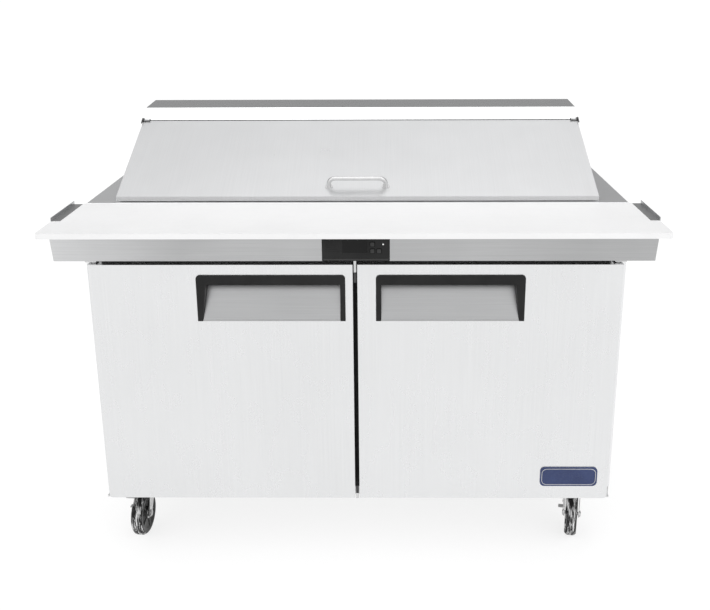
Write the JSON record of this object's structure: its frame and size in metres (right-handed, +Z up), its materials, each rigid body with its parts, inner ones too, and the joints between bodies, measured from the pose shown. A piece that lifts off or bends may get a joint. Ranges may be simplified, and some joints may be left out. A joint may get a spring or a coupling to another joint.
{
  "type": "sandwich prep table",
  "caption": "Refrigerated sandwich prep table: hinged-door cabinet on casters, sloped hood with a flip-up lid over food pans, and a full-width cutting board.",
  "frame": {"origin": "on the floor under the middle of the overall box", "axes": "+X to the right along the front, +Y to the back, +Z up"},
  "size_m": [1.53, 0.864, 1.178],
  "materials": {
    "stainless_panel": "brushed grain, satin",
    "stainless_dark": "brushed grain, darker formed sheet",
    "galvanised": "plain galvanised sheet, matte",
    "foam": "foamed in place, rough",
    "liner_metal": "stucco interior sheet",
    "liner_plastic": "smooth moulded inner panel",
    "zinc": "zinc plated",
    "shelf_wire": "coated wire, gloss",
    "black_plastic": "fine texture",
    "display": "smoked window",
    "button_plastic": "soft touch",
    "board_plastic": "fine matte, light knife marks",
    "pan_steel": "bright drawn steel",
    "gasket": "magnetic door seal",
    "badge_blue": "domed blank badge",
    "compressor_black": "gloss enamel",
    "coil": "finned coil with copper tubes",
    "fan_plastic": "moulded blade",
    "handle_chrome": "polished bar",
    "caster_chrome": "bright plated pressed steel",
    "tyre": "grey-black wheel, worn tread"
  },
  "bodies": {
    "cabinet": {"base_frame": "galvanised", "side_panel_left": "stainless_panel", "side_panel_right": "stainless_panel", "back_panel": "galvanised", "cabinet_foam": "foam", "cabinet_liner": "liner_metal", "front_frame": "black_plastic", "door_hinges": "zinc", "shelf_left": "shelf_wire", "shelf_right": "shelf_wire", "shelf_supports": "zinc", "evaporator": "liner_metal", "compressor": "compressor_black", "condenser": "coil", "machine_grille": "galvanised", "power_inlet": "black_plastic", "worktop": "stainless_panel", "front_apron": "stainless_panel", "board_brackets": "stainless_dark", "pan_rails": "stainless_dark", "pans_front": "pan_steel", "pans_middle": "pan_steel", "pans_rear": "pan_steel", "control_panel": "black_plastic", "control_display": "display", "hood_hinges": "zinc", "caster_plates": "zinc"},
    "cutting_board": {"cutting_board": "board_plastic"},
    "evaporator_fan": {"evaporator_fan": "fan_plastic"},
    "condenser_fan": {"condenser_fan": "fan_plastic"},
    "button_set": {"button_set": "button_plastic"},
    "button_up": {"button_up": "button_plastic"},
    "button_down": {"button_down": "button_plastic"},
    "door_left": {"door_left_skin": "stainless_panel", "door_left_liner": "liner_plastic", "door_left_gasket": "gasket", "door_left_bezel": "black_plastic", "door_left_grip": "stainless_dark"},
    "door_right": {"door_right_skin": "stainless_panel", "door_right_liner": "liner_plastic", "door_right_gasket": "gasket", "door_right_bezel": "black_plastic", "door_right_grip": "stainless_dark", "badge": "badge_blue"},
    "hood": {"hood_top": "stainless_panel", "hood_side_left": "stainless_dark", "hood_side_right": "stainless_dark"},
    "front_lid": {"lid_panel": "stainless_panel", "lid_liner": "liner_plastic", "lid_handle": "handle_chrome"},
    "caster_front_left": {"fork_front_left": "caster_chrome"},
    "wheel_front_left": {"wheel_front_left": "tyre"},
    "caster_front_right": {"fork_front_right": "caster_chrome"},
    "wheel_front_right": {"wheel_front_right": "tyre"},
    "caster_rear_left": {"fork_rear_left": "caster_chrome"},
    "wheel_rear_left": {"wheel_rear_left": "tyre"},
    "caster_rear_right": {"fork_rear_right": "caster_chrome"},
    "wheel_rear_right": {"wheel_rear_right": "tyre"},
    "brake_left": {"brake_left": "caster_chrome"},
    "brake_right": {"brake_right": "caster_chrome"}
  },
  "joints": [
    {"name": "door_left_hinge", "type": "hinge", "parent": "cabinet", "child": "door_left", "pos_m": [-0.669, -0.3, 0.522], "axis": [0, 0, -1], "range_deg": [0, 110]},
    {"name": "door_right_hinge", "type": "hinge", "parent": "cabinet", "child": "door_right", "pos_m": [0.669, -0.3, 0.522], "axis": [0, 0, 1], "range_deg": [0, 110]},
    {"name": "hood_tilt", "type": "hinge", "parent": "cabinet", "child": "hood", "pos_m": [0, 0.427, 0.974], "axis": [-1, 0, 0], "range_deg": [0, 80]},
    {"name": "lid_flip", "type": "hinge", "parent": "hood", "child": "front_lid", "pos_m": [0, 0.239, 1.137], "axis": [-1, 0, 0], "range_deg": [0, 155]},
    {"name": "board_slide", "type": "slide", "parent": "cabinet", "child": "cutting_board", "axis": [0, -1, 0], "range_m": [0, 0.19]},
    {"name": "evaporator_fan_spin", "type": "hinge", "parent": "cabinet", "child": "evaporator_fan", "pos_m": [0, 0.322, 0.7], "axis": [0, 1, 0], "continuous": true},
    {"name": "condenser_fan_spin", "type": "hinge", "parent": "cabinet", "child": "condenser_fan", "pos_m": [0.19, 0.329, 0.33], "axis": [0, 1, 0], "continuous": true},
    {"name": "button_set_press", "type": "slide", "parent": "cabinet", "child": "button_set", "axis": [0, 1, 0], "range_m": [0, 0.0012], "stiffness_N_per_m": 400, "springref_m": -0.0005},
    {"name": "button_up_press", "type": "slide", "parent": "cabinet", "child": "button_up", "axis": [0, 1, 0], "range_m": [0, 0.0012], "stiffness_N_per_m": 400, "springref_m": -0.0005},
    {"name": "button_down_press", "type": "slide", "parent": "cabinet", "child": "button_down", "axis": [0, 1, 0], "range_m": [0, 0.0012], "stiffness_N_per_m": 400, "springref_m": -0.0005},
    {"name": "caster_front_left_swivel", "type": "hinge", "parent": "cabinet", "child": "caster_front_left", "pos_m": [-0.624, -0.168, 0.14], "axis": [0, 0, 1], "continuous": true},
    {"name": "wheel_front_left_roll", "type": "hinge", "parent": "caster_front_left", "child": "wheel_front_left", "pos_m": [-0.62776, -0.2038, 0.0625], "axis": [0.9945, -0.1045, 0], "continuous": true},
    {"name": "brake_left_press", "type": "hinge", "parent": "caster_front_left", "child": "brake_left", "pos_m": [-0.651, -0.19533, 0.0945], "axis": [0.9945, -0.1045, 0], "range_deg": [0, 16]},
    {"name": "caster_front_right_swivel", "type": "hinge", "parent": "cabinet", "child": "caster_front_right", "pos_m": [0.624, -0.168, 0.14], "axis": [0, 0, 1], "continuous": true},
    {"name": "wheel_front_right_roll", "type": "hinge", "parent": "caster_front_right", "child": "wheel_front_right", "pos_m": [0.61529, -0.20293, 0.0625], "axis": [0.9703, -0.2419, 0], "continuous": true},
    {"name": "brake_right_press", "type": "hinge", "parent": "caster_front_right", "child": "brake_right", "pos_m": [0.59345, -0.1913, 0.0945], "axis": [0.9703, -0.2419, 0], "range_deg": [0, 16]},
    {"name": "caster_rear_left_swivel", "type": "hinge", "parent": "cabinet", "child": "caster_rear_left", "pos_m": [-0.624, 0.33, 0.14], "axis": [0, 0, 1], "continuous": true},
    {"name": "wheel_rear_left_roll", "type": "hinge", "parent": "caster_rear_left", "child": "wheel_rear_left", "pos_m": [-0.61775, 0.36545, 0.0625], "axis": [-0.9848, 0.1736, 0], "continuous": true},
    {"name": "caster_rear_right_swivel", "type": "hinge", "parent": "cabinet", "child": "caster_rear_right", "pos_m": [0.624, 0.33, 0.14], "axis": [0, 0, 1], "continuous": true},
    {"name": "wheel_rear_right_roll", "type": "hinge", "parent": "caster_rear_right", "child": "wheel_rear_right", "pos_m": [0.61408, 0.36461, 0.0625], "axis": [-0.9613, -0.2756, 0], "continuous": true}
  ]
}
